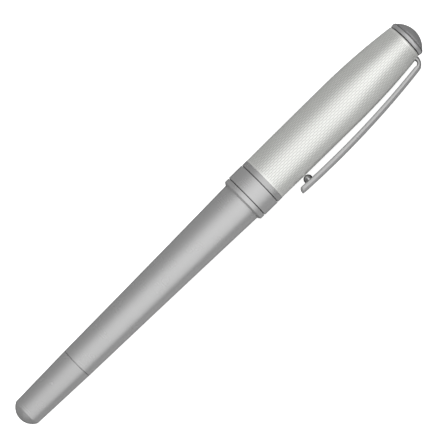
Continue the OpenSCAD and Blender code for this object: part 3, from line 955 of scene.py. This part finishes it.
def writing_ball():
    outline = arc(0, 0, WRITING_BALL_R, 180, 0, 24)
    outline[0], outline[-1] = (-WRITING_BALL_R, 0.0), (WRITING_BALL_R, 0.0)
    centre = place(X_BALL, 0, 0)
    lathe("writing_ball_lapped", outline, "ball", "polished_metal", "writing_ball", 48, centre)


SPRING_R = 2.2
WIRE_R = 0.2
SPRING_TURNS = 7
END_FLATNESS = 0.078


def refill_spring():
    """The coil spring behind the refill."""
    x_foot, x_head = ends("refill_spring")
    start, stop = SPRING_SEAT + WIRE_R + SLIP, x_head - WIRE_R
    steps, sides = SPRING_TURNS * 24, 10
    rings = []
    for i in range(steps + 1):
        f = i / steps
        x = start + (stop - start) * (f - math.sin(2 * math.pi * f) * END_FLATNESS)
        a = 2 * math.pi * SPRING_TURNS * f
        ring = []
        for j in range(sides):
            b = 2 * math.pi * j / sides
            r = SPRING_R + WIRE_R * math.cos(b)
            ring.append(place(x + WIRE_R * math.sin(b), r * math.cos(a), r * math.sin(a)))
        rings.append(ring)
    obj = ring_grid("refill_spring_coiled", rings, "spring", "polished_metal", "refill_spring", sharp=60.0)
    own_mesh(obj)


# ---------------------------------------------------------------- everything

tail_cap()
barrel_tube()
lip_ring()
center_band()
upper_ring()
cap_shell()
finial()
clip_arm()
clip_ball()
section_ring()
grip_section()
snap_ring()
nose_cone()
thread_sleeve()
refill_tip()
writing_ball()
refill_spring()

for name, node in frame["nodes"].items():
    node.data.materials.clear()
    node.data.materials.append(MATERIALS[SLOT_OF[name]])

# ---------------------------------------------------------------- stage, light and camera


# The floor's own paleness, and the glow that the camera sees on it.
FLOOR_ALBEDO = 0.72
FLOOR_GLOW = 0.85


def stage_floor():
    """A plain pale floor that the eye sees almost white; the object's gloss sees past it to the studio."""
    half = 3.0
    mesh = bpy.data.meshes.new("floor")
    corners = [(-half, -half, 0), (half, -half, 0), (half, half, 0), (-half, half, 0)]
    mesh.from_pydata(corners, [], [(0, 1, 2, 3)])
    floor = bpy.data.objects.new("floor", mesh)
    bpy.context.scene.collection.objects.link(floor)
    material = bpy.data.materials.new("floor")
    material.use_nodes = True
    tree = material.node_tree
    tree.nodes.clear()
    diffuse = tree.nodes.new("ShaderNodeBsdfDiffuse")
    diffuse.inputs["Color"].default_value = (FLOOR_ALBEDO, FLOOR_ALBEDO, FLOOR_ALBEDO, 1.0)
    glow = tree.nodes.new("ShaderNodeEmission")
    path = tree.nodes.new("ShaderNodeLightPath")
    gain = tree.nodes.new("ShaderNodeMath")
    gain.operation = "MULTIPLY"
    gain.inputs[1].default_value = FLOOR_GLOW
    add = tree.nodes.new("ShaderNodeAddShader")
    clear = tree.nodes.new("ShaderNodeBsdfTransparent")
    choose = tree.nodes.new("ShaderNodeMixShader")
    output = tree.nodes.new("ShaderNodeOutputMaterial")
    tree.links.new(path.outputs["Is Camera Ray"], gain.inputs[0])
    tree.links.new(gain.outputs[0], glow.inputs["Strength"])
    tree.links.new(diffuse.outputs[0], add.inputs[0])
    tree.links.new(glow.outputs[0], add.inputs[1])
    tree.links.new(path.outputs["Is Glossy Ray"], choose.inputs[0])
    tree.links.new(add.outputs[0], choose.inputs[1])
    tree.links.new(clear.outputs[0], choose.inputs[2])
    tree.links.new(choose.outputs[0], output.inputs["Surface"])
    mesh.materials.append(material)


# Brightness of the light bank round the pen, by degrees from the eye's side towards the clip's side.
ROUND = [
    (-180, 0.08), (-100, 0.05), (-80, 0.09), (-57, 0.25), (-37, 0.53), (-16, 0.83), (8, 1.0),
    (38, 1.0), (57, 0.9), (68, 0.74), (80, 0.34), (92, 0.2), (123, 0.3), (150, 0.26), (180, 0.05)]
# Towards the cap's head the bank narrows by this factor about this angle, over this span of directions.
HEAD_NARROWS = 1.8
HEAD_CENTRE = math.radians(-17.0)
HEAD_SPAN = (0.06, 0.3)
# How much of it is left towards each end of the pen, by the direction's share along the pen.
ALONG_BANK = [
    (-1.0, 0.24), (-0.5, 0.24), (-0.24, 0.38), (-0.15, 0.7), (-0.1, 1.0), (-0.05, 1.16), (0.02, 1.02),
    (0.1, 1.06), (0.2, 1.2), (0.3, 1.25), (0.55, 0.4), (1.0, 0.14)]


def studio():
    """Even white light all round for the matt surfaces, and for the gloss a soft bank beside the eye."""
    world = bpy.data.worlds.new("studio")
    bpy.context.scene.world = world
    world.use_nodes = True
    tree = world.node_tree
    tree.nodes.clear()
    coords = tree.nodes.new("ShaderNodeTexCoord")

    def share(direction):
        node = tree.nodes.new("ShaderNodeVectorMath")
        node.operation = "DOT_PRODUCT"
        node.inputs[1].default_value = direction
        tree.links.new(coords.outputs["Generated"], node.inputs[0])
        return node.outputs["Value"]

    def maths(kind, a, b):
        node = tree.nodes.new("ShaderNodeMath")
        node.operation = kind
        tree.links.new(a, node.inputs[0])
        if isinstance(b, float):
            node.inputs[1].default_value = b
        else:
            tree.links.new(b, node.inputs[1])
        return node.outputs[0]

    def reach(value, lo, hi, to_lo=0.0, to_hi=1.0):
        node = tree.nodes.new("ShaderNodeMapRange")
        for key, number in (("From Min", lo), ("From Max", hi), ("To Min", to_lo), ("To Max", to_hi)):
            node.inputs[key].default_value = number
        tree.links.new(value, node.inputs["Value"])
        return node.outputs["Result"]

    def ramp(value, lo, hi, stops):
        node = tree.nodes.new("ShaderNodeValToRGB")
        elements = node.color_ramp.elements
        while len(elements) < len(stops):
            elements.new(0.5)
        for element, (where, level) in zip(elements, stops):
            element.position = (where - lo) / (hi - lo)
            element.color = (level, level, level, 1.0)
        tree.links.new(reach(value, lo, hi), node.inputs["Fac"])
        return node.outputs["Color"]

    angle = maths("ARCTAN2", share(OUT), share(SIDE))
    narrowing = reach(share(ALONG), *HEAD_SPAN, 1.0, HEAD_NARROWS)
    angle = maths("MULTIPLY", maths("SUBTRACT", angle, HEAD_CENTRE), narrowing)
    angle = maths("ADD", angle, HEAD_CENTRE)
    turn = [(math.radians(degrees), level) for degrees, level in ROUND]
    across = ramp(angle, -math.pi, math.pi, turn)
    bank = maths("MULTIPLY", across, ramp(share(ALONG), -1.0, 1.0, ALONG_BANK))
    path = tree.nodes.new("ShaderNodeLightPath")
    mix = tree.nodes.new("ShaderNodeMix")
    mix.data_type = "FLOAT"
    mix.inputs[2].default_value = 1.0
    background = tree.nodes.new("ShaderNodeBackground")
    output = tree.nodes.new("ShaderNodeOutputWorld")
    tree.links.new(path.outputs["Is Glossy Ray"], mix.inputs["Factor"])
    tree.links.new(bank, mix.inputs[3])
    tree.links.new(mix.outputs[0], background.inputs["Strength"])
    tree.links.new(background.outputs[0], output.inputs["Surface"])
    background.inputs["Color"].default_value = (1.0, 1.0, 1.0, 1.0)


# The camera stands beside the pen, square to the clip's plane, over this station and this far away.
CAMERA_FOOT = 62.0
CAMERA_DISTANCE = 600.0
CAMERA_LENS = 192.95
ROLL = math.radians(44.48)
# Where it aims, in millimetres of its own right and up from the pen's middle.
AIM_RIGHT = 1.003
AIM_UP = 0.432


def camera():
    data = bpy.data.cameras.new("camera")
    data.lens = CAMERA_LENS
    data.clip_start, data.clip_end = 0.01, 20.0
    cam = bpy.data.objects.new("camera", data)
    bpy.context.scene.collection.objects.link(cam)
    inward = -OUT
    right = ALONG * math.cos(ROLL) - inward * math.sin(ROLL)
    up = ALONG * math.sin(ROLL) + inward * math.cos(ROLL)
    eye = place(CAMERA_FOOT, 0, CAMERA_DISTANCE)
    target = place(PEN_L / 2, 0, 0) + (right * AIM_RIGHT + up * AIM_UP) * MM
    back = (eye - target).normalized()
    right = up.cross(back).normalized()
    up = back.cross(right)
    turn = Matrix((right, up, back)).transposed().to_4x4()
    cam.matrix_world = Matrix.Translation(eye) @ turn
    bpy.context.scene.camera = cam


stage_floor()
studio()
camera()
bpy.context.scene.view_settings.view_transform = "Standard"

bpy.context.view_layer.update()
